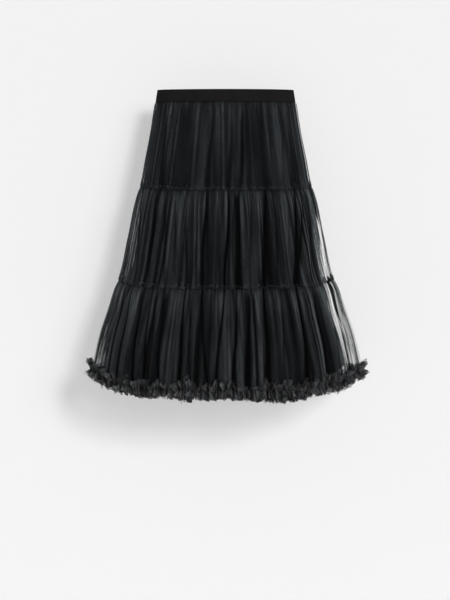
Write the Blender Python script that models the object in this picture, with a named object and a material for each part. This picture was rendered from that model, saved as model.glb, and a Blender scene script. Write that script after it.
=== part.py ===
"""A tiered net midi skirt that hangs by its elastic waistband, open at the waist and the hem.

Metres, +Z up, the front towards -Y. The origin is the middle of the waistband's top edge, where the
skirt is held. Every piece is a closed wall of cloth built through rings. A ring is an oval whose
outline is the skirt's outline at that height, and its gathers and folds dip inwards from it.
"""
import bisect
import math
import random
from collections import namedtuple

import bpy

# Cloth
NET_WALL = 0.0012
LINING_WALL = 0.0010
BAND_WALL = 0.0032
SEAM_GAP = 0.0003

# Hang of the whole skirt: it stands out more at the front than at the back, and its seams and hem
# rise towards the two sides
FORWARD_LEAN = 0.0875
SIDE_RISE_POWER = 5
ROUND_OVAL = 0.35
GIRTH_STEPS = 720

# Heights below the top of the waistband, at the middle of the front
BAND_BOTTOM = 0.031
SEAM_1 = 0.252
SEAM_2 = 0.489
HEM = 0.732

# Gathers and ruffle waves round each piece
UPPER_GATHERS = 32
MIDDLE_GATHERS = 44
LOWER_GATHERS = 60
GATHER_POINTS = (0.0, 0.32, 0.56, 0.80)
GATHER_SHIFT = 0.08
GATHER_LEAST = 0.6
GATHER_AT_SIDES = 0.3
MERGED_EVERY = 3
MERGED_DEEP = 1.6
MERGED_SHALLOW = 0.4

# Ruffle, measured from the end of the lower tier
RUFFLE_TOP = 0.027
RUFFLE_STITCH = 0.006
RUFFLE_BOTTOM = -0.014
RUFFLE_FLARE = 0.019
RUFFLE_STITCH_FLARE = 0.0025
RUFFLE_EDGE_JITTER = 0.003
RUFFLE_SEAT = 0.0012

# One row for each ring of a tier: drop at the front, rise at the sides, half sizes of its outline,
# depth of the gathers, how far they have merged into folds, and depth of the largest folds
Ring = namedtuple("Ring", "drop rise half_width half_depth gather merged fold")

UPPER_RINGS = (
    Ring(BAND_BOTTOM + SEAM_GAP, 0.000, 0.1741, 0.0225, 0.0024, 0.0, 0.0000),
    Ring(0.100, 0.002, 0.1842, 0.0330, 0.0028, 0.6, 0.0015),
    Ring(0.175, 0.006, 0.1975, 0.0465, 0.0022, 1.0, 0.0035),
    Ring(SEAM_1, 0.012, 0.2110, 0.0600, 0.0004, 1.0, 0.0055),
)
MIDDLE_RINGS = (
    Ring(SEAM_1 + SEAM_GAP, 0.012, 0.2110, 0.0600, 0.0026, 0.0, 0.0055),
    Ring(0.278, 0.0125, 0.2190, 0.0680, 0.0036, 0.4, 0.0062),
    Ring(0.380, 0.017, 0.2405, 0.0845, 0.0036, 1.0, 0.0085),
    Ring(SEAM_2, 0.022, 0.2645, 0.1010, 0.0006, 1.0, 0.0110),
)
LOWER_RINGS = (
    Ring(SEAM_2 + SEAM_GAP, 0.022, 0.2645, 0.1010, 0.0026, 0.0, 0.0110),
    Ring(0.516, 0.024, 0.2745, 0.1075, 0.0036, 0.4, 0.0120),
    Ring(0.620, 0.037, 0.3020, 0.1280, 0.0036, 1.0, 0.0155),
    Ring(HEM, 0.053, 0.3165, 0.1470, 0.0030, 1.0, 0.0185),
)
LINING_RINGS = (
    Ring(BAND_BOTTOM + SEAM_GAP, 0.000, 0.1693, 0.0167, 0.0, 0.0, 0.0),
    Ring(SEAM_1, 0.012, 0.2015, 0.0440, 0.0, 0.0, 0.0),
    Ring(SEAM_2, 0.022, 0.2280, 0.0760, 0.0, 0.0, 0.0),
    Ring(0.712, 0.048, 0.2860, 0.1080, 0.0, 0.0, 0.0),
)
BAND_RINGS = (
    Ring(0.0, 0.000, 0.1670, 0.0180, 0.0, 0.0, 0.0),
    Ring(BAND_BOTTOM, 0.000, 0.1716, 0.0192, 0.0, 0.0, 0.0),
)
LINING_POINTS = 48
BAND_POINTS = 64

# The largest folds: which side of the skirt, where each crosses the two seams and the hem as a share
# of the half width there, half its width as a share of the girth, and its depth against the others
Fold = namedtuple("Fold", "side seam_1 seam_2 hem reach strength")

FOLDS = (
    Fold("front", -0.95, -0.82, -0.81, 0.009, 0.7),
    Fold("front", -0.76, -0.71, -0.70, 0.010, 0.8),
    Fold("front", -0.57, -0.56, -0.50, 0.009, 0.6),
    Fold("front", -0.44, -0.38, -0.35, 0.010, 0.8),
    Fold("front", -0.24, -0.23, -0.14, 0.010, 1.1),
    Fold("front", 0.03, -0.02, -0.08, 0.009, 0.9),
    Fold("front", 0.16, 0.11, 0.07, 0.009, 0.9),
    Fold("front", 0.43, 0.34, 0.30, 0.012, 1.2),
    Fold("front", 0.78, 0.65, 0.60, 0.013, 1.3),
    Fold("front", 0.94, 0.80, 0.76, 0.009, 0.7),
    Fold("back", 0.90, 0.83, 0.80, 0.009, 0.8),
    Fold("back", 0.66, 0.62, 0.63, 0.012, 1.2),
    Fold("back", 0.45, 0.47, 0.44, 0.009, 0.7),
    Fold("back", 0.25, 0.28, 0.30, 0.011, 1.1),
    Fold("back", 0.06, 0.09, 0.07, 0.009, 0.8),
    Fold("back", -0.17, -0.11, -0.12, 0.012, 1.2),
    Fold("back", -0.36, -0.33, -0.30, 0.009, 0.8),
    Fold("back", -0.55, -0.50, -0.48, 0.010, 0.9),
    Fold("back", -0.74, -0.70, -0.69, 0.012, 1.1),
    Fold("back", -0.93, -0.87, -0.84, 0.009, 0.7),
)

# Colours
BAND_COLOUR = (0.012, 0.012, 0.013, 1.0)
NET_COLOUR = (0.020, 0.021, 0.023, 1.0)
LINING_COLOUR = (0.008, 0.008, 0.009, 1.0)


def girth_table():
    """Angles round a rounded oval, and the share of its girth that is passed at each."""
    angles = [2 * math.pi * step / GIRTH_STEPS for step in range(GIRTH_STEPS + 1)]
    spots = [(math.cos(angle), ROUND_OVAL * math.sin(angle)) for angle in angles]
    passed = [0.0]
    for before, after in zip(spots, spots[1:]):
        passed.append(passed[-1] + math.dist(before, after))
    return angles, [length / passed[-1] for length in passed]


GIRTH_ANGLES, GIRTH_SHARES = girth_table()


def between(value, known, wanted):
    """The wanted column at a value of the known column, both rising lists of equal length."""
    after = min(max(bisect.bisect_right(known, value), 1), len(known) - 1)
    share = (value - known[after - 1]) / (known[after] - known[after - 1])
    return wanted[after - 1] + share * (wanted[after] - wanted[after - 1])


def angle_at(turn):
    """Angle at a share of the girth, counted from the +X side towards the back."""
    return between(turn % 1.0, GIRTH_SHARES, GIRTH_ANGLES)


def turn_across(side, across):
    """Share of the girth at which the front or the back crosses a share of the half width."""
    angle = math.acos(across)
    if side == "front":
        angle = 2 * math.pi - angle
    return between(angle, GIRTH_ANGLES, GIRTH_SHARES)


def fold_turn(fold, drop):
    """Where a fold lies at a height, straight between the seams and the hem."""
    if drop < SEAM_2:
        return between(drop, (SEAM_1, SEAM_2), (turn_across(fold.side, fold.seam_1),
                                               turn_across(fold.side, fold.seam_2)))
    return between(drop, (SEAM_2, HEM), (turn_across(fold.side, fold.seam_2),
                                         turn_across(fold.side, fold.hem)))


def fold_dip(turn, drop):
    """How deep the largest folds are at one place, as a share of a full fold's depth."""
    dip = 0.0
    for fold in FOLDS:
        away = (turn - fold_turn(fold, drop) + 0.5) % 1.0 - 0.5
        dip += fold.strength * math.exp(-(away / fold.reach) ** 2)
    return dip


def calm_at_sides(angle):
    """Folds and gathers flatten out where the skirt turns at its two side edges."""
    return min(1.0, 1.6 * abs(math.sin(angle)))


def oval_point(ring, angle, dip):
    """A point of a ring, moved inwards from the outline by the dip."""
    across, along = math.cos(angle), math.sin(angle)
    outward = (across / ring.half_width, along / ring.half_depth)
    size = math.hypot(*outward)
    x = ring.half_width * across - dip * outward[0] / size
    y = ring.half_depth * along - dip * outward[1] / size - FORWARD_LEAN * ring.drop
    z = -ring.drop + ring.rise * abs(across) ** SIDE_RISE_POWER
    return x, y, z


def gather_plan(count, seed):
    """The places and depths of a tier's gathers: four points to each, two out and two in."""
    chance = random.Random(seed)
    plan = []
    for gather in range(count):
        shift = chance.uniform(-GATHER_SHIFT, GATHER_SHIFT)
        depth = chance.uniform(GATHER_LEAST, 1.0)
        merged = MERGED_DEEP if gather % MERGED_EVERY == 0 else MERGED_SHALLOW
        for number, place in enumerate(GATHER_POINTS):
            inward = number >= len(GATHER_POINTS) // 2
            plan.append(((gather + place + shift) / count, depth if inward else 0.0, merged))
    return plan


def gathered_ring(ring, plan):
    """The outer points of one ring of a gathered tier."""
    points = []
    for turn, depth, merged in plan:
        angle = angle_at(turn)
        calm = calm_at_sides(angle)
        gather = ring.gather * depth * (1 + ring.merged * (merged - 1))
        gather *= GATHER_AT_SIDES + (1 - GATHER_AT_SIDES) * calm
        fold = ring.fold * fold_dip(turn, ring.drop) * calm
        points.append(oval_point(ring, angle, gather + fold))
    return points


def plain_ring(ring, count):
    """The points of an ungathered ring."""
    return [oval_point(ring, angle_at(number / count), 0.0) for number in range(count)]


def moved_inwards(points, distance):
    """A ring's points moved to its inner side in plan, so that the wall keeps its thickness."""
    moved = []
    for number, (x, y, z) in enumerate(points):
        before = points[number - 1]
        after = points[(number + 1) % len(points)]
        sides = []
        for start, end in ((before, (x, y)), ((x, y), after)):
            along = (end[0] - start[0], end[1] - start[1])
            length = math.hypot(*along)
            sides.append((-along[1] / length, along[0] / length))
        mitre = (sides[0][0] + sides[1][0], sides[0][1] + sides[1][1])
        stretch = 2 / (mitre[0] ** 2 + mitre[1] ** 2)
        moved.append((x + mitre[0] * stretch * distance, y + mitre[1] * stretch * distance, z))
    return moved


def cloth_material(name, colour, roughness):
    """A plain cloth colour."""
    material = bpy.data.materials.new(name)
    material.use_nodes = True
    shader = material.node_tree.nodes["Principled BSDF"]
    shader.inputs["Base Color"].default_value = colour
    shader.inputs["Roughness"].default_value = roughness
    shader.inputs["Metallic"].default_value = 0.0
    material.diffuse_color = colour
    return material


def wall_piece(name, outer, inner, material):
    """A closed wall between outer and inner rings that are listed from the top down."""
    count = len(outer[0])
    points = [point for ring in outer + inner for point in ring]
    faces = []

    def corner(ring, number):
        return ring * count + number % count

    for ring in range(len(outer) - 1):
        hidden = ring + len(outer)
        for number in range(count):
            faces.append((corner(ring, number), corner(ring + 1, number),
                          corner(ring + 1, number + 1), corner(ring, number + 1)))
            faces.append((corner(hidden, number), corner(hidden, number + 1),
                          corner(hidden + 1, number + 1), corner(hidden + 1, number)))
    last = len(outer) - 1
    for number in range(count):
        top, hidden_top = 0, len(outer)
        faces.append((corner(top, number), corner(top, number + 1),
                      corner(hidden_top, number + 1), corner(hidden_top, number)))
        bottom, hidden_bottom = last, last + len(outer)
        faces.append((corner(bottom, number), corner(hidden_bottom, number),
                      corner(hidden_bottom, number + 1), corner(bottom, number + 1)))
    mesh = bpy.data.meshes.new(name)
    mesh.from_pydata(points, [], faces)
    mesh.shade_smooth()
    mesh.set_sharp_from_angle(angle=math.radians(50))
    piece = bpy.data.objects.new(name, mesh)
    piece.data.materials.append(material)
    bpy.context.scene.collection.objects.link(piece)
    return piece


def make_tier(name, rings, plan, material):
    """One gathered net tier, and its outer rings for what is stitched on it."""
    outer = [gathered_ring(ring, plan) for ring in rings]
    inner = [moved_inwards(points, NET_WALL) for points in outer]
    wall_piece(name, outer, inner, material)
    return outer


def make_lining(material):
    """The opaque A-line underskirt."""
    outer = [plain_ring(ring, LINING_POINTS) for ring in LINING_RINGS]
    inner = [moved_inwards(points, LINING_WALL) for points in outer]
    wall_piece("lining", outer, inner, material)


def make_waistband(material):
    """The elastic, whose inside is an oval of its own because the ends turn so tightly."""
    outer = [plain_ring(ring, BAND_POINTS) for ring in BAND_RINGS]
    hollow = [ring._replace(half_width=ring.half_width - BAND_WALL,
                            half_depth=ring.half_depth - BAND_WALL) for ring in BAND_RINGS]
    inner = [plain_ring(ring, BAND_POINTS) for ring in hollow]
    wall_piece("waistband", outer, inner, material)


def ruffle_ring(tier, height, seat, flare, jitter, chance):
    """The inner points of one ring of the ruffle, on the line of the lower tier at that height."""
    above, end = tier[-2], tier[-1]
    carried = []
    for high, low in zip(above, end):
        share = height / (high[2] - low[2])
        carried.append(tuple(low[axis] + share * (high[axis] - low[axis]) for axis in range(3)))
    seated = moved_inwards(carried, -seat)
    centre = -FORWARD_LEAN * HEM
    hem = LOWER_RINGS[-1]
    points = []
    for number, (x, y, z) in enumerate(seated):
        outward = (x / hem.half_width ** 2, (y - centre) / hem.half_depth ** 2)
        size = math.hypot(*outward)
        if number % len(GATHER_POINTS) == 0:
            reach = flare * chance.uniform(0.6, 1.0)
            lift = chance.uniform(-jitter, jitter)
        out = reach if number % len(GATHER_POINTS) < len(GATHER_POINTS) // 2 else 0.0
        points.append((x + out * outward[0] / size, y + out * outward[1] / size, z + lift))
    return points


def make_hem_ruffle(tier, material):
    """The frill: stitched along its middle to the tier's end, both edges waving outwards."""
    chance = random.Random(11)
    inner = [ruffle_ring(tier, RUFFLE_TOP, RUFFLE_SEAT, RUFFLE_FLARE, RUFFLE_EDGE_JITTER, chance),
             ruffle_ring(tier, RUFFLE_STITCH, SEAM_GAP, RUFFLE_STITCH_FLARE, 0.0, chance),
             ruffle_ring(tier, RUFFLE_BOTTOM, RUFFLE_SEAT, RUFFLE_FLARE, RUFFLE_EDGE_JITTER, chance)]
    outer = [moved_inwards(points, -NET_WALL) for points in inner]
    wall_piece("hem_ruffle", outer, inner, material)


def main():
    for leftover in list(bpy.data.objects):
        bpy.data.objects.remove(leftover, do_unlink=True)

    make_waistband(cloth_material("black elastic", BAND_COLOUR, 0.55))
    make_lining(cloth_material("black lining", LINING_COLOUR, 0.7))
    make_tier("upper_tier", UPPER_RINGS, gather_plan(UPPER_GATHERS, 3),
              cloth_material("upper tier net", NET_COLOUR, 0.65))
    make_tier("middle_tier", MIDDLE_RINGS, gather_plan(MIDDLE_GATHERS, 5),
              cloth_material("middle tier net", NET_COLOUR, 0.65))
    lower = make_tier("lower_tier", LOWER_RINGS, gather_plan(LOWER_GATHERS, 7),
                      cloth_material("lower tier net", NET_COLOUR, 0.65))
    make_hem_ruffle(lower, cloth_material("ruffle net", NET_COLOUR, 0.65))


main()
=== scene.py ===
"""Looks of a black tiered net midi skirt that hangs by its elastic waistband before a pale wall.

Metres, +Z up, the front towards -Y. Every cloth piece is a thin shell round an oval outline. Gathers,
folds and creases dip inwards from the outline, so that the outline stays the skirt's own. A turn is a
share of the girth, counted from the +X side towards the back. A drop is a depth below the waist.
"""
import math
import random
from collections import namedtuple

import bpy
import numpy as np
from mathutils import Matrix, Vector


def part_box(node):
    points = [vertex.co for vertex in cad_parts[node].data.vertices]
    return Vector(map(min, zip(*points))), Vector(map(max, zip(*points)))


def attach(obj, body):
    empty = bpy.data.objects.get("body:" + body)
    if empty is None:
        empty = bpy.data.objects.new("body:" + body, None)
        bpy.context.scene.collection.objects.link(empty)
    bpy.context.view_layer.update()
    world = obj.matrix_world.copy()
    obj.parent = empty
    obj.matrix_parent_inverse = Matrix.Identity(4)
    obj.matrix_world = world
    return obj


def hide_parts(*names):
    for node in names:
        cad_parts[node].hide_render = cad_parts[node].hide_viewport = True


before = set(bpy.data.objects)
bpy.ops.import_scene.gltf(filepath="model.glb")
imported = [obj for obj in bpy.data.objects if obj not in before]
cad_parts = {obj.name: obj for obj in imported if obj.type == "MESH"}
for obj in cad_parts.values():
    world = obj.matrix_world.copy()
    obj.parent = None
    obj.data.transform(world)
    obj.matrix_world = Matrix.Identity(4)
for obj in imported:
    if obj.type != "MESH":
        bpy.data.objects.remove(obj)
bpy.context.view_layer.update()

FULL_TURN = 2 * math.pi

# The photograph: its size, where the middle of the waistband's top edge lies in it, and its scale
PHOTO_WIDTH = 450
PHOTO_HEIGHT = 600
WAIST_PIXEL = (225.5, 90)
METRES_PER_PIXEL = 0.002452
CAMERA_DISTANCE = 3.2
SENSOR = 0.036

# The room: how far the wall is behind the frill, the height of the floor, and half the width of both
WALL_GAP = 0.006
FLOOR_HEIGHT = -1.80
ROOM_HALF = 4.0

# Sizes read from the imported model
band_low, band_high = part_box("waistband")
upper_low, upper_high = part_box("upper_tier")
middle_low, middle_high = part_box("middle_tier")
lower_low, lower_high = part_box("lower_tier")
lining_low, lining_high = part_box("lining")
_, ruffle_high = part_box("hem_ruffle")

# Drops below the top of the waistband, at the middle of the front
BAND_BOTTOM = -band_low.z
SEAM_1 = -upper_low.z
SEAM_2 = -middle_low.z
HEM = -lower_low.z
LINING_BELOW_SOLID = 0.006
LINING_END = -lining_low.z + LINING_BELOW_SOLID

# How far the hanging skirt leans forwards and to the right for each metre of drop, how sharply its seams
# and hem rise towards the sides, and how round an oval its girth is shared out on
FORWARD_LEAN = -(lower_low.y + lower_high.y) / 2 / HEM
SIDE_LEAN = 0.004
SIDE_RISE_POWER = 5
ROUND_OVAL = 0.35

# The outline all the way down: drop at the front, rise at the sides, half width and half depth
Outline = namedtuple("Outline", "drop rise half_width half_depth")

NET_OUTLINE = (
    Outline(BAND_BOTTOM, 0.000, band_high.x + 0.0025, 0.0225),
    Outline(0.100, 0.002, 0.1842, 0.0330),
    Outline(0.175, 0.006, 0.1975, 0.0465),
    Outline(SEAM_1, 0.012, upper_high.x, 0.0600),
    Outline(0.278, 0.0125, 0.2190, 0.0680),
    Outline(0.380, 0.017, 0.2395, 0.0845),
    Outline(SEAM_2, 0.022, middle_high.x - 0.0010, 0.1010),
    Outline(0.516, 0.024, 0.2740, 0.1075),
    Outline(0.560, 0.028, 0.2868, 0.1160),
    Outline(0.620, 0.034, 0.3050, 0.1280),
    Outline(HEM, 0.047, lower_high.x + 0.0115, 0.1470),
)
LINING_OUTLINE = (
    Outline(BAND_BOTTOM, 0.000, 0.1693, 0.0167),
    Outline(SEAM_1, 0.012, 0.2015, 0.0400),
    Outline(SEAM_2, 0.022, 0.2280, 0.0660),
    Outline(LINING_END, 0.048, lining_high.x, 0.0940),
)
LINING_CLEARANCE = 0.0015
LEAST_ROOM = 0.0008

# The main creases, from the photograph: the side, where each crosses the waist, the two seams
# and the hem as a share of the half width there, half its width in metres, and its depth in mm from the
# waist down: at the waist, half way, at seam 1, half way, at seam 2, half way and at the hem
Crease = namedtuple("Crease", "side across reach depths")

CREASES = (
    Crease("front", (-0.97, -0.954, -0.900, -0.920), 0.008, (0, 0, 0, 0, 2, 7, 8)),
    Crease("front", (-0.95, -0.950, -0.845, -0.813), 0.010, (0, 0.8, 3, 9, 6, 13, 12)),
    Crease("front", (-0.83, -0.757, -0.740, -0.700), 0.011, (1.8, 6, 8, 11, 6, 14, 14)),
    Crease("front", (-0.73, -0.600, -0.600, -0.600), 0.008, (0.6, 3, 1, 0, 0, 0, 0)),
    Crease("front", (-0.73, -0.690, -0.557, -0.500), 0.010, (0, 0, 3, 8, 4, 13, 14)),
    Crease("front", (-0.60, -0.600, -0.655, -0.617), 0.009, (0, 0, 0, 0, 3, 12, 12)),
    Crease("front", (-0.60, -0.600, -0.610, -0.570), 0.006, (0, 0, 0, 0, 1, 6, 6)),
    Crease("front", (-0.60, -0.570, -0.460, -0.460), 0.008, (0, 0, 2, 6, 1, 0, 0)),
    Crease("front", (-0.41, -0.435, -0.370, -0.350), 0.012, (1.2, 3.8, 4, 9, 10, 18, 18)),
    Crease("front", (-0.30, -0.300, -0.325, -0.255), 0.007, (0, 0, 0, 0, 2, 6, 6)),
    Crease("front", (-0.16, -0.225, -0.226, -0.140), 0.009, (2.4, 6.8, 12, 17, 12, 11, 9)),
    Crease("front", (-0.06, -0.080, -0.100, -0.100), 0.007, (0, 0, 2, 5, 1, 0, 0)),
    Crease("front", (0.10, 0.030, -0.018, -0.090), 0.010, (2.4, 6.8, 9, 15, 13, 19, 18)),
    Crease("front", (0.17, 0.087, 0.046, 0.046), 0.006, (0.6, 2.2, 3, 8, 2, 0, 0)),
    Crease("front", (0.25, 0.157, 0.095, 0.040), 0.009, (3, 7.5, 9, 14, 10, 16, 15)),
    Crease("front", (0.36, 0.280, 0.215, 0.125), 0.009, (0, 0.8, 2, 6, 4, 11, 11)),
    Crease("front", (0.48, 0.447, 0.337, 0.297), 0.014, (2.4, 6, 9, 16, 15, 22, 22)),
    Crease("front", (0.60, 0.535, 0.480, 0.410), 0.008, (1.2, 3, 2, 7, 4, 7, 6)),
    Crease("front", (0.77, 0.680, 0.600, 0.600), 0.007, (1.2, 3, 2, 5, 1, 0, 0)),
    Crease("front", (0.88, 0.795, 0.642, 0.592), 0.014, (1.8, 5.2, 10, 17, 17, 26, 26)),
    Crease("front", (0.95, 0.860, 0.690, 0.690), 0.009, (0, 0.8, 4, 10, 3, 0, 0)),
    Crease("front", (0.98, 0.965, 0.780, 0.748), 0.010, (0, 0.8, 3, 7, 4, 13, 13)),
    Crease("front", (0.99, 0.980, 0.890, 0.840), 0.008, (0, 0, 1, 3, 3, 7, 7)),
    Crease("back", (0.95, 0.920, 0.870, 0.860), 0.010, (0.6, 2.2, 4, 8, 6, 11, 11)),
    Crease("back", (0.80, 0.700, 0.640, 0.640), 0.013, (2.4, 6, 9, 15, 12, 20, 20)),
    Crease("back", (0.62, 0.540, 0.530, 0.500), 0.008, (1.2, 3, 3, 6, 4, 9, 10)),
    Crease("back", (0.47, 0.440, 0.420, 0.410), 0.010, (1.8, 5.2, 6, 10, 7, 13, 14)),
    Crease("back", (0.35, 0.350, 0.340, 0.300), 0.007, (0, 0, 2, 6, 2, 6, 5)),
    Crease("back", (0.28, 0.230, 0.250, 0.230), 0.011, (2.4, 6, 9, 15, 11, 16, 16)),
    Crease("back", (0.12, 0.080, 0.100, 0.090), 0.008, (1.2, 3.8, 5, 9, 5, 11, 12)),
    Crease("back", (-0.10, -0.150, -0.110, -0.120), 0.013, (2.4, 6.8, 10, 16, 13, 22, 22)),
    Crease("back", (-0.29, -0.280, -0.260, -0.230), 0.008, (0.6, 2.2, 2, 7, 4, 9, 9)),
    Crease("back", (-0.43, -0.400, -0.350, -0.330), 0.010, (2.4, 6, 6, 10, 7, 14, 14)),
    Crease("back", (-0.60, -0.550, -0.520, -0.480), 0.011, (1.8, 5.2, 6, 12, 9, 16, 17)),
    Crease("back", (-0.70, -0.640, -0.600, -0.580), 0.007, (0, 0, 2, 6, 1, 6, 6)),
    Crease("back", (-0.78, -0.720, -0.690, -0.680), 0.013, (2.4, 6, 9, 15, 12, 19, 20)),
    Crease("back", (-0.94, -0.900, -0.860, -0.840), 0.009, (0.6, 2.2, 4, 8, 5, 10, 10)),
)

# How far a crease's or a pleat's lips are drawn together, against its depth, and how far creases sway
CREASE_PINCH = 0.30
PLEAT_PINCH = 0.22
CREASE_SWAY = 0.0014

# The four levels at which creases are placed, and the same with half ways between
LEVELS = (BAND_BOTTOM, SEAM_1, SEAM_2, HEM)
HALF_LEVELS = [(LEVELS[half // 2] + LEVELS[(half + 1) // 2]) / 2 for half in range(7)]

# A tier's own small pleats, from its gathering seam down: how many, half their width and their depth in
# metres, the share of the tier's length at which they end, their strength at the seam, and their slant
Pleats = namedtuple("Pleats", "count reach depth end at_seam slant")

UPPER_PLEATS = (
    Pleats(96, (0.0018, 0.0034), 0.0014, (0.06, 0.30), 1.0, 0.0008),
    Pleats(16, (0.0060, 0.0140), 0.0016, (0.50, 1.60), 0.6, 0.0020),
)
MIDDLE_PLEATS = (
    Pleats(112, (0.0018, 0.0032), 0.0055, (0.10, 0.45), 1.0, 0.0018),
    Pleats(44, (0.0028, 0.0050), 0.0065, (0.50, 1.40), 0.8, 0.0030),
    Pleats(24, (0.0040, 0.0075), 0.0085, (0.90, 1.80), 0.5, 0.0030),
)
LOWER_PLEATS = (
    Pleats(116, (0.0020, 0.0036), 0.0060, (0.10, 0.50), 1.0, 0.0018),
    Pleats(40, (0.0032, 0.0058), 0.0080, (0.50, 1.40), 0.8, 0.0030),
    Pleats(24, (0.0050, 0.0090), 0.0105, (0.90, 1.80), 0.5, 0.0030),
)

# The three tiers: where each starts and ends, the size it is cut to, its pleats, how many soft folds it
# has and how deep they are, its mesh columns and rows, and the seed of its chance
Tier = namedtuple("Tier", "name top bottom cut pleats folds fold_depth columns rows seed")

TIERS = (
    Tier("upper_tier", BAND_BOTTOM, SEAM_1, (1.05, 0.225), UPPER_PLEATS, 15, 0.0016, 1200, 50, 3),
    Tier("middle_tier", SEAM_1, SEAM_2, (1.65, 0.240), MIDDLE_PLEATS, 38, 0.0060, 1500, 60, 5),
    Tier("lower_tier", SEAM_2, HEM, (2.10, 0.248), LOWER_PLEATS, 34, 0.0080, 1600, 60, 7),
)

# How deep a seam draws the net in, how far down that reaches, and how far folds drift along the girth
SEAM_TUCK = 0.0030
SEAM_TUCK_LENGTH = 0.0035
FOLD_DRIFT = 0.010

# Where the next tier is sewn on: the share of its folds that a tier loses, and its tuck against the one
# below that seam
FOLDS_LOST = 0.7
TUCK_ABOVE = 0.6

# Painted shade of the net: how dark a fold's trough is painted, its middle, how deep a crease turns the
# net fully dark on the upper tier and on the others, and how strong the painted shade under a seam is and
# how far down it reaches
FOLD_SHADE = 0.85
FOLD_MIDDLE = 0.35
UPPER_DARK_CREASE = 0.0045
DARK_CREASE = 0.011
SEAM_SHADE = 0.7
SEAM_SHADE_LENGTH = 0.0025

# Painted light of the net: the middle and the change of its broad clouds, the least and the range on the
# upper tier, the painted shade that pleats take off there and on the others, how much of that is lost
# further down, and the extra painted highlight that the others have near their gathering seam
BROAD_CLOUD = 0.85
BROAD_CLOUD_CHANGE = 0.5
UPPER_LEAST = 0.20
UPPER_RANGE = 0.74
UPPER_PLEAT_SHADE = 0.2
PLEAT_SHADE = 0.9
PLEAT_SHADE_LOST = 0.3
SEAM_LIGHT = 0.5

# Where the net is bunched or thin, front and back alike, from the photograph: across as for the
# creases, half the width in metres, and the cloth added to an even spread at the creases' heights
Spread = namedtuple("Spread", "across reach more")

SPREADS = (
    Spread((0.990, 0.965, 0.865, 0.850), 0.014, (0.5, 1.5, 3.0, 3.0, 5.0, 5.0, 2.0)),
    Spread((1.000, 1.000, 0.930, 0.885), 0.005, (0, 0, 0, -2.0, -3.0, -3.0, -3.0)),
    Spread((1.000, 1.000, 0.975, 0.915), 0.007, (0, 1, 2, 1.0, 0.8, 2.6, 3.6)),
    Spread((-0.990, -0.965, -0.900, -0.880), 0.022, (0.5, 1.5, 2.3, 2.3, 5.0, 7.0, 5.0)),
    Spread((-1.000, -0.990, -0.970, -0.955), 0.018, (0.5, 1.0, 1.0, 1.0, 4.0, 4.0, -0.5)),
    Spread((-1.000, -1.000, -1.000, -1.000), 0.006, (0, 0, 0, 0, 1, 2, 3)),
)

# The net's spread by chance and in its pleats, and the strength of its streaks: over the front and back
# of the upper tier and below it, and at the right side, the left side and the lower tier's left side
CHANCE_SPREAD = 0.15
PLEAT_SPREAD = 1.4
EVEN_LOSS = 0.2
UPPER_STREAKS = 0.08
LOWER_STREAKS = 0.25
RIGHT_STREAKS = 1.9
LEFT_STREAKS = 1.7
LOWER_LEFT_STREAKS = 0.4

# The frill at the hem, two plies of a narrow strip gathered onto the lower tier: its flat size, the share
# of the tier's length at which it is stitched, its waves, how far its upper and lower half lean out in
# radians, how proud it stands, the reach of both halves in metres, how much painted light it takes (less
# on the under ply, as painted shade), and its seed
Frill = namedtuple("Frill", "name cut stitch waves upper_lean lower_lean proud upper lower lit seed")

FRILLS = (
    Frill("net_hem_frill", (3.6, 0.042), 0.970, 118, 0.72, 0.85, 0.0012, 0.019, 0.0165, 1.0, 51),
    Frill("net_hem_frill_under", (3.0, 0.036), 0.976, 137, 0.60, 0.35, 0.0004, 0.015, 0.0160, 0.55, 71),
)

# Where the frill lies flat or hangs lower, from the photograph: across, half the width in
# metres, and the shares of its upper and lower half that are left off there, or added if below 0
FrillPlace = namedtuple("FrillPlace", "across reach upper_off lower_off")

FRILL_PLACES = (
    FrillPlace(0.165, 0.032, 0.70, 0.00),
    FrillPlace(-0.42, 0.020, 0.45, 0.00),
    FrillPlace(0.50, 0.018, 0.40, 0.00),
    FrillPlace(0.315, 0.064, 0.00, -0.42),
    FrillPlace(-0.30, 0.014, 0.00, -0.20),
)

# The frill's mesh, the girth that its waves share out, and in metres its fray, its sway along the hem, its
# drift up and down, and the spikes, ends and sideways stray of the threads at its raw edges
FRILL_COLUMNS = 3000
FRILL_ROWS = 15
HEM_GIRTH = 1.5
FRAY = 0.0040
FRILL_SWAY = 0.0050
FRILL_DRIFT = 0.0042
EDGE_SPIKES = 0.0030
EDGE_THREADS = 0.0016
EDGE_STRAY = 0.0014

# The frill's waves: how unevenly they are spaced, how they twist between the stitching and the edges, how
# far they curl over, and at the skirt's two sides how much further out they stand and how much lower
FRILL_WARP = 0.9
FRILL_TWIST = 0.45
FRILL_CURL = 0.34
SIDES_PROUD = 0.003
SIDES_LOWER = 0.35

# The gathered edges above a seam: their height and the depth of their rucks in metres, how many rucks go
# round, and their fullness against the tier's own
ALLOWANCE_HEIGHT = 0.0075
RUCK_DEPTH = 0.0012
RUCKS = 200
ALLOWANCE_FULLNESS = 1.4

# The elastic: its wall and rounded edges, its half sizes at the top, how much deeper it is below, and
# how far its face ripples
BAND_WALL = 0.0030
BAND_ROUNDING = 0.0011
BAND_TOP_HALF_WIDTH = 0.1670
BAND_TOP_HALF_DEPTH = 0.0180
BAND_FLARE = 0.0012
BAND_RIPPLE = 0.0003

# The net's cell in metres, and half the width of its threads as a share of a cell where it lies flat
NET_CELL = 0.0018
NET_THREAD = 0.050
FRILL_NET_THREAD = NET_THREAD * 1.5
SEAM_NET_THREAD = 0.12

# The random cloudy change of the net's painted light, and the waves for each metre and the depth of its
# fine crinkles
CLOUD_GAIN = 1.6
CLOUD_LEAST = 0.1
CRINKLE_WAVES = 260.0
CRINKLE_DEPTH = 0.0011

# Ribs and knit of the elastic and threads of the lining, for each metre
RIBS = 620.0
KNIT = 900.0
WEAVE = 1500.0


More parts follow.
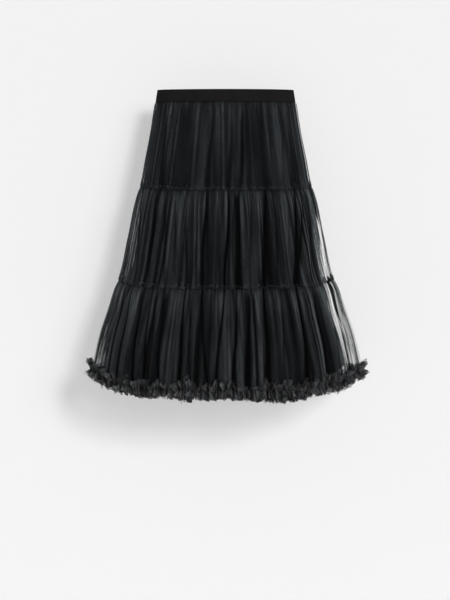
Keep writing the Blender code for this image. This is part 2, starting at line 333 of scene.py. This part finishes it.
def smooth_step(low, high, value):
    """0 below low, 1 above high and a smooth rise between."""
    share = np.clip((value - low) / (high - low), 0.0, 1.0)
    return share * share * (3 - 2 * share)


def wander(turns, waves, seed):
    """A smooth uneven line round the skirt, about -1 to 1, that meets itself."""
    chance = random.Random(seed)
    total = np.zeros_like(turns)
    weight = 0.0
    for wave in waves:
        size = chance.uniform(0.5, 1.0)
        total += size * np.cos(FULL_TURN * (wave * turns + chance.random()))
        weight += size * size
    return total / math.sqrt(2 * weight)


def girth_table(oval, steps=1440):
    """Angles round an oval and the share of its girth that is passed at each."""
    angles = np.linspace(0.0, FULL_TURN, steps + 1)
    spots = np.stack([np.cos(angles), oval * np.sin(angles)], axis=1)
    passed = np.concatenate([[0.0], np.linalg.norm(np.diff(spots, axis=0), axis=1).cumsum()])
    return angles, passed / passed[-1]


GIRTH_ANGLES, GIRTH_SHARES = girth_table(ROUND_OVAL)


def angle_at(turns):
    """Angle at a share of the girth, counted from the +X side towards the back."""
    return np.interp(turns % 1.0, GIRTH_SHARES, GIRTH_ANGLES)


def turn_across(side, across):
    """Share of the girth where the front or back crosses a share of the half width."""
    angle = math.acos(across)
    if side == "front":
        angle = FULL_TURN - angle
    return float(np.interp(angle, GIRTH_ANGLES, GIRTH_SHARES))


def outline_at(rows, drops):
    """Rise, half width and half depth at each drop, smooth through the outline's rows."""
    known = np.array([row.drop for row in rows])
    found = []
    for column in ("rise", "half_width", "half_depth"):
        wanted = np.array([getattr(row, column) for row in rows])
        slopes = np.gradient(wanted, known)
        after = np.clip(np.searchsorted(known, drops, side="right"), 1, len(known) - 1)
        span = known[after] - known[after - 1]
        share = (drops - known[after - 1]) / span
        start, end = wanted[after - 1], wanted[after]
        out, back = slopes[after - 1] * span, slopes[after] * span
        found.append((2 * share**3 - 3 * share**2 + 1) * start + (share**3 - 2 * share**2 + share) * out
                     + (3 * share**2 - 2 * share**3) * end + (share**3 - share**2) * back)
    return found


def outward(angles, half_width, half_depth):
    """The outline's outward direction in plan."""
    x, y = np.cos(angles) / half_width, np.sin(angles) / half_depth
    size = np.hypot(x, y)
    return x / size, y / size


def room_inside(angles, drops):
    """How far the net may dip before it would reach the lining."""
    _, net_width, net_depth = outline_at(NET_OUTLINE, drops)
    _, lining_width, lining_depth = outline_at(LINING_OUTLINE, np.minimum(drops, LINING_END))
    out_x, out_y = outward(angles, net_width, net_depth)
    gap = (net_width - lining_width) * np.cos(angles) * out_x
    gap += (net_depth - lining_depth) * np.sin(angles) * out_y
    return np.maximum(gap - LINING_CLEARANCE, LEAST_ROOM)


def girth_at(drops):
    """Length of the outline at each drop."""
    _, half_width, half_depth = outline_at(NET_OUTLINE, drops)
    return math.pi * (3 * (half_width + half_depth)
                      - np.sqrt((3 * half_width + half_depth) * (half_width + 3 * half_depth)))


def away_from(side, across, turns, drops):
    """Metres round the outline from a line that crosses the four levels at the given shares."""
    places = [turn_across(side, share) for share in across]
    return ((turns - np.interp(drops, LEVELS, places) + 0.5) % 1.0 - 0.5) * girth_at(drops)


def trough(away):
    """A soft crease: 1 on its line and a steep fall beside it."""
    return np.exp(1 - np.sqrt(1 + 4 * away**2))


def crease_dips(turns, drops):
    """Depth of the main creases, how far their lips are drawn together, and the depth of their painted
    shade, in metres.
    """
    dips, drawn, shade = np.zeros_like(turns), np.zeros_like(turns), np.zeros_like(turns)
    # Creases are narrow under each seam and widen down the tier
    spread = 0.55 + 0.6 * (np.interp(drops, LEVELS, range(4)) % 1.0)
    spread = np.where(drops >= HEM - 1e-6, 1.15, spread)
    for number, crease in enumerate(CREASES):
        sway = CREASE_SWAY * np.sin(drops * 31 + number * 2.4)
        away = (away_from(crease.side, crease.across, turns, drops) - sway) / (crease.reach * spread)
        form = trough(away) * np.interp(drops, HALF_LEVELS, crease.depths) / 1000
        dips += form
        drawn -= CREASE_PINCH * away * form
        shade += form * np.exp(-away**2)
    return dips, drawn, shade


def wave(turns, count, seed):
    """An uneven wave round the skirt: 0 on its ridges and up to 1 in its troughs."""
    phase = FULL_TURN * (count * turns + wander(turns, (3, 7, 12, 19, 27), seed))
    return (0.62 + 0.38 * wander(turns, (5, 11, 17, 31, 43), seed + 1)) * (0.5 - 0.5 * np.cos(phase))


def pleat_dips(tier, turns, shares):
    """Depth and drawn lips of a tier's own pleats in metres, and how tightly each place is pleated."""
    chance = np.random.default_rng(tier.seed)
    dips, drawn, tight = np.zeros_like(turns), np.zeros_like(turns), np.zeros_like(turns)
    girth = girth_at(tier.top + (tier.bottom - tier.top) * shares)
    for pleats in tier.pleats:
        for number in range(pleats.count):
            place = (number + chance.uniform(-0.45, 0.45)) / pleats.count
            slant = chance.normal(0.0, pleats.slant)
            reach = chance.uniform(*pleats.reach)
            size = chance.uniform(0.3, 1.0)
            end = chance.uniform(*pleats.end)
            away = (turns - place - slant * shares**1.3 + 0.5) % 1.0 - 0.5
            away = away * girth / (reach * (0.7 + 0.6 * shares))
            form = trough(away) * size * (1 - smooth_step(end - 0.4 * min(end, 1.0), end, shares))
            form = form * (pleats.at_seam + (1 - pleats.at_seam) * smooth_step(0.0, 0.35, shares))
            dips += pleats.depth * form
            drawn -= PLEAT_PINCH * pleats.depth * away * form
            tight += form**1.5
    return dips, drawn, tight


def painted_ridge_light(tier, turns, shares, fold, shade, tight):
    """How light the net is painted: most on the ridges of folds, with painted shade in creases, pleats and
    under a seam.
    """
    upper = tier.name == "upper_tier"
    valley = FOLD_MIDDLE + (fold - FOLD_MIDDLE) * smooth_step(0.0, 0.12, shares)
    light = (1 - FOLD_SHADE * valley) ** 2
    light = light * np.clip(1 - shade / (UPPER_DARK_CREASE if upper else DARK_CREASE), 0.0, 1.0)
    cloud = wander(turns, (7, 13, 29, 37), tier.seed + 40)
    light = light * np.clip(BROAD_CLOUD + BROAD_CLOUD_CHANGE * cloud, 0.3, 1.2)
    if upper:
        light = (UPPER_LEAST + UPPER_RANGE * light) * np.clip(1 - UPPER_PLEAT_SHADE * tight, 0.3, 1.0)
    else:
        pleated = (PLEAT_SHADE - PLEAT_SHADE_LOST * smooth_step(0.1, 0.5, shares)) * tight
        light = light * np.clip(1 - pleated, 0.06, 1.0)
        light = light * (1 + SEAM_LIGHT - SEAM_LIGHT * smooth_step(0.08, 0.40, shares))
    length = tier.bottom - tier.top
    return light * (1 - SEAM_SHADE * np.exp(-shares * length / SEAM_SHADE_LENGTH))


def tier_points(tier, turns, shares):
    """Points of a tier's cloth at shares of the girth and of its length, its painted shade and pleating.
    """
    drops = tier.top + (tier.bottom - tier.top) * shares
    angles = angle_at(turns)
    rise, half_width, half_depth = outline_at(NET_OUTLINE, drops)
    out_x, out_y = outward(angles, half_width, half_depth)
    creases, drawn, shade = crease_dips(turns, drops)
    own, own_drawn, tight = pleat_dips(tier, turns, shares)
    drift = FOLD_DRIFT * wander(turns, (2, 5, 9, 14), tier.seed + 2) * shares
    fold = wave(turns + drift, tier.folds, tier.seed + 20)
    own = own + tier.fold_depth * fold * smooth_step(0.02, 0.35, shares)
    length = tier.bottom - tier.top
    tuck = SEAM_TUCK * np.exp(-shares * length / SEAM_TUCK_LENGTH)
    if tier.name != "lower_tier":
        # The seam below holds the folds flatter and draws the net in
        own = own * (1 - FOLDS_LOST * smooth_step(0.90, 1.0, shares))
        tuck = tuck + TUCK_ABOVE * SEAM_TUCK * np.exp(-(1 - shares) * length / SEAM_TUCK_LENGTH)
    drawn = drawn + own_drawn
    room = room_inside(angles, drops)
    dips = room * (1 - np.exp(-(creases + own + tuck) / room))
    x = half_width * np.cos(angles) - dips * out_x - drawn * out_y + SIDE_LEAN * drops
    y = half_depth * np.sin(angles) - dips * out_y + drawn * out_x - FORWARD_LEAN * drops
    z = -drops + rise * np.abs(np.cos(angles)) ** SIDE_RISE_POWER
    # Painted light on the ridges and painted shade in the creases, pleats and under the seams
    light = painted_ridge_light(tier, turns + drift, shares, fold, shade, tight)
    return np.stack([x, y, z], axis=-1), 1 - light, tight


def fullness_of(points, cut_length):
    """How many times the cloth covers each bit of the outline: more in gathers than on flat runs."""
    step = np.linalg.norm(np.roll(points, -1, axis=1) - np.roll(points, 1, axis=1), axis=2) / 2
    reach = max(2, points.shape[1] // 120)
    chord = np.linalg.norm(np.roll(points, -reach, axis=1) - np.roll(points, reach, axis=1), axis=2)
    for _ in range(3):
        chord = (chord + np.roll(chord, reach, axis=1) + np.roll(chord, -reach, axis=1)) / 3
    share = step / np.maximum(chord / (2 * reach), 1e-6)
    return share * cut_length / step.sum(axis=1, keepdims=True)


def grid(columns, rows, low=0.0, high=1.0):
    """Shares of the girth and of the length at every point of a piece, row by row."""
    turns, shares = np.meshgrid(np.arange(columns) / columns, np.linspace(low, high, rows))
    return turns, shares


def bunched(turns, drops, tight, seed):
    """Cloth against an even spread: more in the pleats and where the gathers are pushed together."""
    more = CHANCE_SPREAD * wander(turns, (11, 19, 31, 47, 73, 101), seed)
    more = more + PLEAT_SPREAD * np.minimum(tight, 1.2) - EVEN_LOSS
    for spread in SPREADS:
        for side in ("front", "back"):
            away = away_from(side, spread.across, turns, drops) / spread.reach
            more += np.exp(-away**2) * np.interp(drops, HALF_LEVELS, spread.more)
    across = np.cos(angle_at(turns))
    left = np.where(drops < SEAM_2, LEFT_STREAKS, LOWER_LEFT_STREAKS)
    strength = np.where(drops < SEAM_1, UPPER_STREAKS, LOWER_STREAKS)
    strength += np.where(across > 0, RIGHT_STREAKS, left) * across**6
    streaks = np.exp(strength * wander(turns, (79, 109, 137, 167, 199), seed + 5))
    return np.clip((1 + more) * streaks, 0.12, 12.0)


def cloth_piece(name, points, cut, painted_shade=None, bunch=1.0, tube=False, bake_rows=3):
    """A sheet mesh from rows of points. Its cloth map is in metres of the flat cut."""
    rows, columns = points.shape[:2]
    steps, levels = columns, rows if tube else rows - 1
    row, column = np.meshgrid(np.arange(levels), np.arange(steps), indexing="ij")
    below, after = (row + 1) % rows, (column + 1) % columns
    corners = [(row, column), (below, column), (below, after), (row, after)]
    faces = np.stack([r * columns + c for r, c in corners], axis=-1).reshape(-1, 4)
    mesh = bpy.data.meshes.new(name)
    mesh.from_pydata(points.reshape(-1, 3).tolist(), [], faces.tolist())
    across = np.stack([column, column, column + 1, column + 1], axis=-1).reshape(-1) / steps
    down = np.stack([row, row + 1, row + 1, row], axis=-1).reshape(-1) / levels
    cloth_map = mesh.uv_layers.new(name="cloth")
    cloth_map.data.foreach_set("uv", np.stack([across * cut[0], down * cut[1]], axis=-1).ravel())
    panel = np.repeat((column * bake_rows // steps).reshape(-1), 4)
    baked = np.stack([across * bake_rows - panel, (panel + 0.02 + 0.96 * down) / bake_rows], axis=-1)
    bake_map = mesh.uv_layers.new(name="OFBake")
    bake_map.data.foreach_set("uv", baked.ravel())
    gathered = mesh.attributes.new("fullness", "FLOAT", "POINT")
    gathered.data.foreach_set("value", (bunch * fullness_of(points, cut[0])).ravel())
    # The painted shade at each point: 0 takes the painted light, 1 the painted shade
    if painted_shade is not None:
        troughs = mesh.attributes.new("painted_shade", "FLOAT", "POINT")
        troughs.data.foreach_set("value", painted_shade.ravel())
    mesh.shade_smooth()
    piece = bpy.data.objects.new(name, mesh)
    bpy.context.scene.collection.objects.link(piece)
    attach(piece, "root")
    return piece


class Signal:
    """A value in a finish. Arithmetic on it adds Math nodes."""

    def __init__(self, finish, socket):
        self.finish = finish
        self.socket = socket

    def maths(self, operation, *values):
        return self.finish.node("ShaderNodeMath", {"operation": operation}, dict(enumerate(values)))

    def __add__(self, other):
        return self.maths("ADD", self, other)

    def __radd__(self, other):
        return self.maths("ADD", other, self)

    def __sub__(self, other):
        return self.maths("SUBTRACT", self, other)

    def __rsub__(self, other):
        return self.maths("SUBTRACT", other, self)

    def __mul__(self, other):
        return self.maths("MULTIPLY", self, other)

    def __rmul__(self, other):
        return self.maths("MULTIPLY", other, self)

    def __truediv__(self, other):
        return self.maths("DIVIDE", self, other)

    def __lt__(self, other):
        return self.maths("LESS_THAN", self, other)

    def __abs__(self):
        return self.maths("ABSOLUTE", self)

    def fraction(self):
        return self.maths("FRACT", self)

    def larger(self, other):
        return self.maths("MAXIMUM", self, other)


class Finish:
    """One material and the nodes that feed its shader."""

    def __init__(self, name, settings):
        self.material = bpy.data.materials.new(name)
        self.material.use_nodes = True
        self.tree = self.material.node_tree
        self.shader = self.tree.nodes["Principled BSDF"]
        for socket, value in settings.items():
            self.shader.inputs[socket].default_value = value

    def node(self, kind, settings, values, output=0):
        """A node with its settings made first, then its sockets' values or links."""
        made = self.tree.nodes.new(kind)
        for name, value in settings.items():
            setattr(made, name, value)
        for socket, value in values.items():
            if isinstance(value, Signal):
                self.tree.links.new(value.socket, made.inputs[socket])
            else:
                made.inputs[socket].default_value = value
        return Signal(self, made.outputs[output])

    def feed(self, socket, signal):
        self.tree.links.new(signal.socket, self.shader.inputs[socket])

    def cloth_map(self):
        """The flat cloth's coordinates: across and down, in metres."""
        place = self.node("ShaderNodeUVMap", {"uv_map": "cloth"}, {})
        parts = self.tree.nodes.new("ShaderNodeSeparateXYZ")
        self.tree.links.new(place.socket, parts.inputs[0])
        return Signal(self, parts.outputs["X"]), Signal(self, parts.outputs["Y"])

    def attribute(self, name):
        return self.node("ShaderNodeAttribute", {"attribute_name": name}, {}, output=2)

    def place(self, across, down):
        return self.node("ShaderNodeCombineXYZ", {}, {"X": across, "Y": down})

    def noise(self, across, down, detail=2.0):
        return self.node("ShaderNodeTexNoise", {"noise_dimensions": "2D"},
                         {"Vector": self.place(across, down), "Scale": 1.0, "Detail": detail})

    def blend(self, share, first, second):
        """A mix of two colours."""
        return self.node("ShaderNodeMix", {"data_type": "RGBA"},
                         {"Factor": share, 6: (*first, 1.0), 7: (*second, 1.0)}, output=2)

    def bump(self, height, distance, strength):
        return self.node("ShaderNodeBump", {}, {"Height": height, "Distance": distance,
                                                "Strength": strength})


def net_threads(finish, across, down, thread):
    """1 on the threads of a six-sided net and 0 in its holes."""
    column, row = across / NET_CELL, down / (NET_CELL * math.sqrt(3))
    spots = []
    for shift in (0.0, 0.5):
        x = abs((column + shift).fraction() - 0.5)
        y = abs((row + shift).fraction() - 0.5) * math.sqrt(3)
        spots.append((x, y, x * x + y * y))
    (x_1, y_1, far_1), (x_2, y_2, far_2) = spots
    first = far_1 < far_2
    x = x_2 + first * (x_1 - x_2)
    y = y_2 + first * (y_1 - y_2)
    edge = 0.5 - x.larger(x * 0.5 + y * (math.sqrt(3) / 2))
    return edge < thread


def net_finish(name, thread, light, dark, streaks, run, crinkles):
    """Soft black net: an open six-sided mesh with a faint sheen, painted light on ridges and painted shade
    in hollows.

    Streaks and run are the waves of its clouds for each metre across and down, and crinkles is the
    strength of its fine crinkles.
    """
    finish = Finish(name, {"Roughness": 0.6, "Sheen Weight": 0.02, "Sheen Roughness": 0.4,
                           "Specular IOR Level": 0.04})
    across, down = finish.cloth_map()
    finish.feed("Alpha", net_threads(finish, across, down, finish.attribute("fullness") * thread))
    cloud = finish.noise(across * streaks, down * run) * CLOUD_GAIN + CLOUD_LEAST
    # Painted light and shade: the colour goes from the dark one, painted shade, to the light one, painted
    # light on ridges
    finish.feed("Base Color", finish.blend((1 - finish.attribute("painted_shade")) * cloud, dark, light))
    crinkle = finish.noise(across * CRINKLE_WAVES, down * run)
    finish.feed("Normal", finish.bump(crinkle, CRINKLE_DEPTH, crinkles))
    return finish.material


def elastic_finish():
    """Matt black elastic with fine ribs along its length and a faint knit across them."""
    finish = Finish("black elastic", {"Roughness": 0.7, "Sheen Weight": 0.02, "Sheen Roughness": 0.5,
                                      "Specular IOR Level": 0.05})
    across, down = finish.cloth_map()
    ribs = abs((down * RIBS).fraction() - 0.5) * 2
    knit = abs((across * KNIT).fraction() - 0.5) * 2
    wear = finish.noise(across * 30.0, down * 30.0, 3.0)
    finish.feed("Base Color", finish.blend(wear, (0.0105, 0.0105, 0.011), (0.016, 0.016, 0.017)))
    finish.feed("Normal", finish.bump(ribs * 0.8 + knit * 0.3, 0.0003, 0.7))
    return finish.material


def lining_finish():
    """Dense matt black lining with a fine plain weave."""
    finish = Finish("black lining", {"Roughness": 0.8, "Specular IOR Level": 0.02})
    across, down = finish.cloth_map()
    weave = abs((across * WEAVE).fraction() - 0.5) + abs((down * WEAVE).fraction() - 0.5)
    cloud = finish.noise(across * 14.0, down * 5.0)
    finish.feed("Base Color", finish.blend(cloud, (0.0012, 0.0012, 0.0014), (0.0022, 0.0022, 0.0024)))
    finish.feed("Normal", finish.bump(weave, 0.0002, 0.4))
    return finish.material


def make_waistband(material):
    """The elastic ring, with softly rounded edges."""
    columns, wall, rounding = 360, BAND_WALL, BAND_ROUNDING
    face = np.linspace(rounding, BAND_BOTTOM - rounding, 9)
    loop = [(0.0, rounding), (rounding, 0.0), (wall - rounding, 0.0), (wall, rounding)]
    loop += [(wall, drop) for drop in face[1:]]
    loop += [(wall - rounding, BAND_BOTTOM), (rounding, BAND_BOTTOM)]
    loop += [(0.0, drop) for drop in face[:0:-1]]
    inward, drops = (np.array(column)[:, None] for column in zip(*loop))
    turns = np.arange(columns)[None, :] / columns + 0 * drops
    angles = angle_at(turns)
    share = drops / BAND_BOTTOM
    half_width = BAND_TOP_HALF_WIDTH + (band_high.x - BAND_TOP_HALF_WIDTH) * share - inward
    half_depth = BAND_TOP_HALF_DEPTH + BAND_FLARE * share - inward
    ripple = BAND_RIPPLE * wander(turns, (9, 17, 26, 38), 21) * np.sin(math.pi * share)
    x = half_width * np.cos(angles)
    y = (half_depth + ripple) * np.sin(angles) - FORWARD_LEAN * drops
    piece = cloth_piece("elastic_waistband", np.stack([x, y, -drops + 0 * turns], axis=-1),
                        (0.70, 2 * BAND_BOTTOM), tube=True, bake_rows=4)
    piece.data.materials.append(material)
    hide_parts("waistband")


def make_lining(material):
    """The opaque A-line lining, with shallow folds of its own."""
    turns, shares = grid(360, 60)
    drops = BAND_BOTTOM + (LINING_END - BAND_BOTTOM) * shares
    angles = angle_at(turns)
    rise, half_width, half_depth = outline_at(LINING_OUTLINE, drops)
    out_x, out_y = outward(angles, half_width, half_depth)
    folds, depth = 14, 0.006
    phase = FULL_TURN * (folds * turns + 0.6 * wander(turns, (2, 3, 5, 8), 31))
    dips = depth * shares * (0.5 - 0.5 * np.cos(phase)) * np.minimum(1, 1.6 * np.abs(np.sin(angles)))
    x = half_width * np.cos(angles) - dips * out_x
    y = half_depth * np.sin(angles) - dips * out_y - FORWARD_LEAN * drops
    z = -drops + rise * np.abs(np.cos(angles)) ** SIDE_RISE_POWER
    piece = cloth_piece("a_line_lining", np.stack([x, y, z], axis=-1), (1.30, 0.70))
    piece.data.materials.append(material)
    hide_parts("lining")


def make_tier(tier, material):
    """One gathered net tier."""
    turns, shares = grid(tier.columns, tier.rows)
    points, painted_shade, tight = tier_points(tier, turns, shares)
    bunch = bunched(turns, tier.top + (tier.bottom - tier.top) * shares, tight, tier.seed + 30)
    # Painted shade: bunched net is painted darker
    painted_shade = 1 - (1 - painted_shade) * (1 - 0.6 * smooth_step(2.0, 5.0, bunch))
    piece = cloth_piece(f"net_{tier.name}", points, tier.cut, painted_shade, bunch)
    piece.data.materials.append(material)
    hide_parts(tier.name)
    return piece


def make_seam_allowance(tier, material):
    """The gathered edges that stand up inside the net above a seam, uneven along the top."""
    turns, shares = grid(1600, 5)
    tall = ALLOWANCE_HEIGHT * (1 + 0.8 * wander(turns, (41, 83, 97, 131), 45))
    side_on = np.abs(np.cos(angle_at(turns))) ** 5
    tall = tall * (0.8 + 0.7 * side_on)
    points, _, _ = tier_points(tier, turns, 1 - shares * tall / (tier.bottom - tier.top))
    out_x, out_y = outward(angle_at(turns), 1.0, ROUND_OVAL)
    phase = FULL_TURN * (RUCKS * turns + wander(turns, (5, 9, 20), 41))
    ruck = RUCK_DEPTH + RUCK_DEPTH * shares * np.sin(phase)
    points[..., 0] -= ruck * out_x
    points[..., 1] -= ruck * out_y
    cut = (tier.cut[0] * ALLOWANCE_FULLNESS, ALLOWANCE_HEIGHT)
    # Painted highlight along the top edge at the front and back; below it and at the sides it takes the
    # dark colour
    piece = cloth_piece(f"seam_allowance_{tier.name}", points, cut,
                        1 - smooth_step(0.7, 1.0, shares) * (1 - side_on), 1.5 + 6.0 * side_on)
    piece.data.materials.append(material)
    return piece


def make_frill(lower, frill, material):
    """A narrow strip at the hem, gathered along its stitching, both edges waving and raw."""
    columns, rows = FRILL_COLUMNS, FRILL_ROWS
    turns, across = grid(columns, rows, 1.0, -1.0)
    base, _, _ = tier_points(lower, turns[0], np.full(columns, frill.stitch))
    angles = angle_at(turns)
    out_x, out_y = outward(angles, lower_high.x, NET_OUTLINE[-1].half_depth)
    along = np.roll(base, -2, axis=0) - np.roll(base, 2, axis=0)
    along /= np.linalg.norm(along[:, :2], axis=1)[:, None]
    upper = across > 0
    reach = np.abs(across)
    warp = FRILL_WARP * wander(turns, (7, 13, 22, 37), frill.seed)
    above = FRILL_TWIST * wander(turns, (9, 19, 29, 43, 67), frill.seed + 1)
    below = FRILL_TWIST * wander(turns, (6, 15, 25, 41, 63), frill.seed + 2)
    phase = FULL_TURN * (frill.waves * turns + warp + reach * np.where(upper, above, below))
    crest = 0.5 + 0.5 * np.cos(phase)
    size = np.where(upper, wander(turns, (23, 61, 88, 107), frill.seed + 3),
                    wander(turns, (19, 67, 93, 113), frill.seed + 4))
    side_on = np.abs(np.cos(angles)) ** 4
    lean = np.where(upper, frill.upper_lean, frill.lower_lean) * (0.80 + 0.95 * size)
    lean = lean * (1 - 0.3 * side_on)
    lean = crest * np.clip(lean, 0.1, 1.35) * (0.75 + 0.25 * reach)
    uneven = wander(turns, (8, 17, 26, 39, 58), frill.seed + 5)
    tall = np.where(upper, frill.upper * np.clip(0.95 + 0.50 * uneven + 0.45 * size, 0.2, 1.6),
                    frill.lower * (0.98 + 0.16 * size))
    for place in FRILL_PLACES:
        away = away_from("front", (place.across,) * 4, turns, HEM + 0 * turns) / place.reach
        tall = tall * (1 - np.where(upper, place.upper_off, place.lower_off) * np.exp(-away**4))
    tall = tall * (1 - SIDES_LOWER * side_on)
    fray = FRAY * reach**2 * (1 + 0.5 * side_on) * wander(turns, (193, 269, 367, 457), frill.seed + 9)
    out = frill.proud + SIDES_PROUD * side_on + tall * reach * np.sin(lean) + fray * (0.3 + 0.7 * crest)
    pitch = HEM_GIRTH / frill.waves
    side = -FRILL_CURL * pitch * reach * np.sin(2 * phase)
    side = side + FRILL_SWAY * reach**2 * wander(turns, (41, 73, 109, 151), frill.seed + 7)
    drift = FRILL_DRIFT * wander(turns, (7, 13, 19, 29, 47), frill.seed // 20 + 8)
    points = np.empty((rows, columns, 3))
    points[..., 0] = base[:, 0] + out * out_x + side * along[:, 0]
    points[..., 1] = base[:, 1] + out * out_y + side * along[:, 1]
    points[..., 2] = base[:, 2] + drift + across * tall * np.cos(lean) + fray
    chance = np.random.default_rng(frill.seed + 6)
    for edge, way in ((0, 1.0), (rows - 1, -1.0)):
        spikes = np.repeat(chance.random(columns // 3) ** 2, 3)
        threads = 1 + 1.2 * side_on[edge]
        raised = EDGE_SPIKES * spikes + chance.uniform(0.0, EDGE_THREADS, columns)
        points[edge, :, 2] += way * raised * threads
        points[edge, :, 0] += chance.uniform(-EDGE_STRAY, EDGE_STRAY, columns) * threads**2
    # Painted light on the crests and towards the raw edges, painted shade between the waves and at the
    # stitching
    light = (0.08 + 0.92 * crest) * (0.45 + 0.55 * reach) * np.clip(0.70 + 0.6 * size, 0.1, 1.2)
    painted_shade = np.clip(1 - frill.lit * light, 0, 1)
    bunch = (3.6 - 1.7 * side_on) * (1 - 0.78 * reach**3)
    piece = cloth_piece(frill.name, points, frill.cut, painted_shade, bunch, bake_rows=8)
    piece.data.materials.append(material)
    return piece


def plain_finish(name, grey, glow):
    """Plain paint. It is one-sided, so that the skirt's back can be seen from behind the wall."""
    finish = Finish(name, {"Base Color": (grey, grey, grey, 1.0), "Roughness": 0.9,
                           "Emission Color": (1.0, 1.0, 1.0, 1.0), "Emission Strength": glow})
    finish.feed("Alpha", 1 - finish.node("ShaderNodeNewGeometry", {}, {}, output="Backfacing"))
    return finish.material


def make_room():
    """Pale wall behind, pale floor well below the view."""
    back, low, half = ruffle_high.y + WALL_GAP, FLOOR_HEIGHT, ROOM_HALF
    wall = [(-half, back, low), (half, back, low), (half, back, half), (-half, back, half)]
    floor = [(-half, back, low), (-half, -half, low), (half, -half, low), (half, back, low)]
    for name, corners, grey, glow in (("wall", wall, 0.64, 0.418), ("floor", floor, 0.54, 0.07)):
        mesh = bpy.data.meshes.new(name)
        mesh.from_pydata(corners, [], [(0, 1, 2, 3)])
        mesh.materials.append(plain_finish(f"pale {name}", grey, glow))
        surface = bpy.data.objects.new(name, mesh)
        bpy.context.scene.collection.objects.link(surface)


def make_light(name, way, spread, strength):
    """A broad even light from far off: the way to it, its width in degrees and its strength."""
    light = bpy.data.lights.new(name, "SUN")
    light.angle = math.radians(spread)
    light.energy = strength
    lamp = bpy.data.objects.new(name, light)
    lamp.rotation_euler = Vector(way).to_track_quat("Z", "Y").to_euler()
    bpy.context.scene.collection.objects.link(lamp)


def light_room():
    """A soft key from the upper right, a wide side light and an even pale room."""
    world = bpy.data.worlds.new("studio")
    world.use_nodes = True
    backdrop = world.node_tree.nodes["Background"]
    backdrop.inputs["Color"].default_value = (1.0, 1.0, 1.0, 1.0)
    backdrop.inputs["Strength"].default_value = 0.25
    bpy.context.scene.world = world
    make_light("key", (0.45, -0.95, 0.36), 13, 1.24)
    make_light("side softbox", (0.58, -0.82, 0.22), 22, 0.45)


def place_camera():
    camera = bpy.data.cameras.new("camera")
    camera.sensor_width = SENSOR * 1000
    view_height = PHOTO_HEIGHT * METRES_PER_PIXEL
    camera.lens = camera.sensor_width * CAMERA_DISTANCE / view_height
    holder = bpy.data.objects.new("camera", camera)
    holder.location = ((PHOTO_WIDTH / 2 - WAIST_PIXEL[0]) * METRES_PER_PIXEL, -CAMERA_DISTANCE,
                       -(PHOTO_HEIGHT / 2 - WAIST_PIXEL[1]) * METRES_PER_PIXEL)
    holder.rotation_euler = (math.pi / 2, 0.0, 0.0)
    bpy.context.scene.collection.objects.link(holder)
    bpy.context.scene.camera = holder


bpy.context.scene.view_settings.view_transform = "Standard"
place_camera()
light_room()
make_room()
make_waistband(elastic_finish())
make_lining(lining_finish())

# Each net's light colour is its painted light and its dark colour its painted shade; on the seam net the
# light is a painted highlight
net = net_finish("soft black net", NET_THREAD, light=(0.160, 0.181, 0.192),
                 dark=(0.0045, 0.0052, 0.006), streaks=60.0, run=8.0, crinkles=0.6)
flat_net = net_finish("smooth black net", NET_THREAD, light=(0.140, 0.159, 0.172),
                      dark=(0.009, 0.0105, 0.012), streaks=24.0, run=5.0, crinkles=0.25)
frill_net = net_finish("frilled black net", FRILL_NET_THREAD, light=(0.170, 0.175, 0.180),
                       dark=(0.003, 0.003, 0.004), streaks=130.0, run=130.0, crinkles=1.0)
dense_net = net_finish("gathered seam net", SEAM_NET_THREAD, light=(0.090, 0.093, 0.096),
                       dark=(0.003, 0.003, 0.003), streaks=60.0, run=8.0, crinkles=0.6)
for tier in TIERS:
    shell = make_tier(tier, flat_net if tier.name == "upper_tier" else net)
    if tier.name != "lower_tier":
        make_seam_allowance(tier, dense_net)
outer_frill, under_frill = (make_frill(TIERS[-1], frill, frill_net) for frill in FRILLS)
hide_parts("hem_ruffle")
